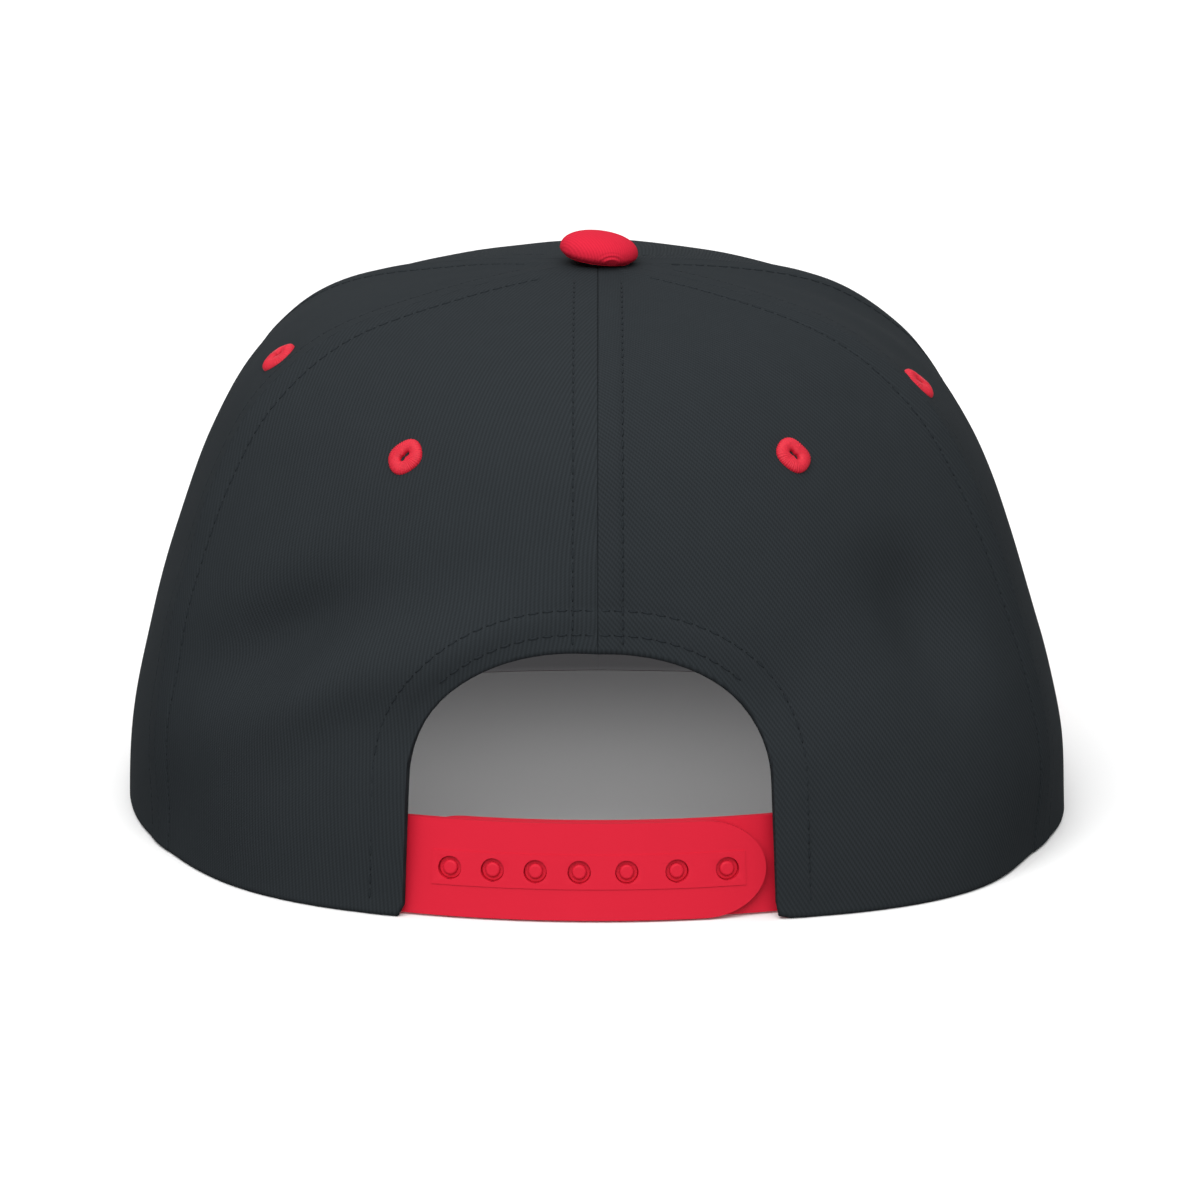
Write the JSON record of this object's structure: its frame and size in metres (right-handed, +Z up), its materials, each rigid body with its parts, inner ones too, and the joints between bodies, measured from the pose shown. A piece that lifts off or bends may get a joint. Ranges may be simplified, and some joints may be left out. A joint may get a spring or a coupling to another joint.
{
  "type": "flat bill cap",
  "caption": "Structured panel cap with a flat bill, top button, stitched eyelets and a fastened snap strap across the open back, worn on the head to shade the eyes.",
  "frame": {"origin": "on the ground plane, under the middle of the whole cap's outline, with the rim and the bill resting on it", "axes": "+Y forward over the bill, +X to the wearer's right, +Z up through the top button; millimetres in the source, metres in the row"},
  "size_m": [0.1833, 0.2564, 0.1126],
  "materials": {
    "crown_cloth": "charcoal cotton and wool twill, matt",
    "eyelet_thread": "red embroidery thread with a slight sheen",
    "button_cloth": "red twill pulled over a domed button, matt",
    "strap_moulding": "red moulded soft plastic, satin",
    "bill_cloth": "red twill over a flat stiff board, matt"
  },
  "bodies": {
    "root": {"crown_back_left": "crown_cloth", "crown_back_right": "crown_cloth", "crown_side_left": "crown_cloth", "crown_side_right": "crown_cloth", "crown_front_left": "crown_cloth", "crown_front_right": "crown_cloth", "eyelet_back_left": "eyelet_thread", "eyelet_back_right": "eyelet_thread", "eyelet_side_left": "eyelet_thread", "eyelet_side_right": "eyelet_thread", "eyelet_front_left": "eyelet_thread", "eyelet_front_right": "eyelet_thread", "top_button": "button_cloth", "snap_strap_outer": "strap_moulding", "snap_strap_inner": "strap_moulding", "flat_bill": "bill_cloth"}
  },
  "joints": []
}
